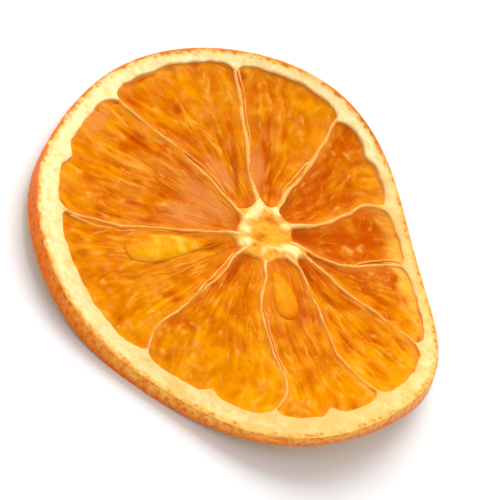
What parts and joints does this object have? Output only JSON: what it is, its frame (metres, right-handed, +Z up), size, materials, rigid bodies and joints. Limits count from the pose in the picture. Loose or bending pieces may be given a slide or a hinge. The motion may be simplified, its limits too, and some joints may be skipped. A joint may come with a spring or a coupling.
{
  "type": "dried orange slice",
  "caption": "Thin round slice of dried orange, gently warped, with pale pith, raised membranes, sunken amber pulp and seeds.",
  "frame": {"origin": "middle of the slice's box, at the floor that it rests on", "axes": "+Z up, the shown cut face looks up; +Y along the slice's longest extent, and +X to the right of the shown face"},
  "size_m": [0.0614, 0.062, 0.0079],
  "materials": {
    "dried_fruit": "amber dried pulp with a slight gloss, pale matt pith and membranes, dull orange peel"
  },
  "bodies": {
    "root": {"dried_orange_slice": "dried_fruit"}
  },
  "joints": []
}
